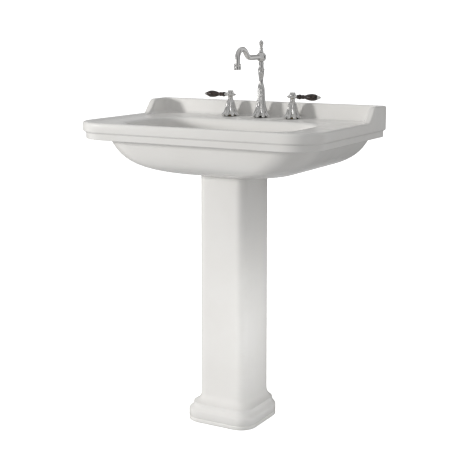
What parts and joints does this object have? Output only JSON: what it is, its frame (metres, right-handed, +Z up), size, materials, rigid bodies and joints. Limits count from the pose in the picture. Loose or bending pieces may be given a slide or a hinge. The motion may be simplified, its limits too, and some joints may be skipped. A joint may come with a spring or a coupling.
{
  "type": "pedestal sink",
  "caption": "Rectangular china wash basin with a moulded rim and low upstand on a square china pedestal, with swivelling swan-neck spout, lever taps, pop-up waste and trap.",
  "frame": {"origin": "on the floor, on the plane of symmetry, halfway between the wall and the front of the basin", "axes": "+Z up, +Y towards the wall, +X to the right of a person who stands facing the basin"},
  "size_m": [0.735, 0.482, 1.0792],
  "materials": {
    "vitreous_china": "smooth white glaze",
    "polished_chrome": "polished",
    "black_glaze": "glossy near-black glaze",
    "plain_brass": "machined",
    "black_rubber": "matt",
    "zinc_steel": "zinc plated"
  },
  "bodies": {
    "sink": {"basin": "vitreous_china", "pedestal": "vitreous_china", "seat_gasket": "black_rubber", "drain_flange": "polished_chrome", "drain_body": "polished_chrome", "drain_gasket": "black_rubber", "drain_locknut": "plain_brass", "pivot_nut": "polished_chrome", "overflow_ring": "polished_chrome", "tailpiece": "polished_chrome", "trap_inlet_nut": "polished_chrome", "trap_bend": "polished_chrome", "trap_outlet_nut": "polished_chrome", "trap_arm": "polished_chrome", "wall_flange": "polished_chrome", "spout_body": "polished_chrome", "spout_gasket": "black_rubber", "spout_locknut": "plain_brass", "spout_tee": "plain_brass", "wall_stud_left": "zinc_steel", "wall_washer_left": "black_rubber", "wall_nut_left": "zinc_steel", "floor_stud_left": "zinc_steel", "floor_nut_left": "zinc_steel", "tap_bell_left": "polished_chrome", "tap_gasket_left": "black_rubber", "tap_locknut_left": "plain_brass", "valve_body_left": "plain_brass", "link_pipe_left": "zinc_steel", "wall_stud_right": "zinc_steel", "wall_washer_right": "black_rubber", "wall_nut_right": "zinc_steel", "floor_stud_right": "zinc_steel", "floor_nut_right": "zinc_steel", "tap_bell_right": "polished_chrome", "tap_gasket_right": "black_rubber", "tap_locknut_right": "plain_brass", "valve_body_right": "plain_brass", "link_pipe_right": "zinc_steel"},
    "spout": {"swan_neck": "polished_chrome", "hub_nub": "polished_chrome", "neck_gland": "polished_chrome", "nozzle_sleeve": "polished_chrome", "aerator": "plain_brass"},
    "left_lever": {"valve_stem_left": "plain_brass", "lever_hub_left": "polished_chrome", "lever_grip_left": "black_glaze", "lever_tip_left": "polished_chrome"},
    "right_lever": {"valve_stem_right": "plain_brass", "lever_hub_right": "polished_chrome", "lever_grip_right": "black_glaze", "lever_tip_right": "polished_chrome"},
    "pop_up_rod": {"lift_rod": "polished_chrome", "lift_knob": "polished_chrome", "clevis_strap": "zinc_steel", "clevis_screw": "plain_brass"},
    "pivot_lever": {"pivot_rod": "polished_chrome"},
    "plug": {"stopper": "polished_chrome", "stopper_ring": "black_rubber"}
  },
  "joints": [
    {"name": "spout_swivel", "type": "hinge", "parent": "sink", "child": "spout", "pos_m": [0, 0.185, 1.031], "axis": [0, 0, 1], "range_deg": [-70, 70]},
    {"name": "left_lever_turn", "type": "hinge", "parent": "sink", "child": "left_lever", "pos_m": [-0.1016, 0.185, 0.921], "axis": [0, 0, 1], "range_deg": [0, 90]},
    {"name": "right_lever_turn", "type": "hinge", "parent": "sink", "child": "right_lever", "pos_m": [0.1016, 0.185, 0.921], "axis": [0, 0, 1], "range_deg": [-90, 0]},
    {"name": "pop_up_lift", "type": "slide", "parent": "sink", "child": "pop_up_rod", "axis": [0, 0, 1], "range_m": [0, 0.03]},
    {"name": "pivot_rod_tilt", "type": "hinge", "parent": "sink", "child": "pivot_lever", "pos_m": [0, 0.024, 0.664], "axis": [1, 0, 0], "range_deg": [0, 17.2]},
    {"name": "stopper_drop", "type": "slide", "parent": "sink", "child": "plug", "axis": [0, 0, 1], "range_m": [-0.0085, 0]}
  ],
  "couplings": [
    {"joint": "pivot_rod_tilt", "follows": "pop_up_lift", "rad_per_m": 10},
    {"joint": "stopper_drop", "follows": "pop_up_lift", "ratio": -0.28}
  ]
}
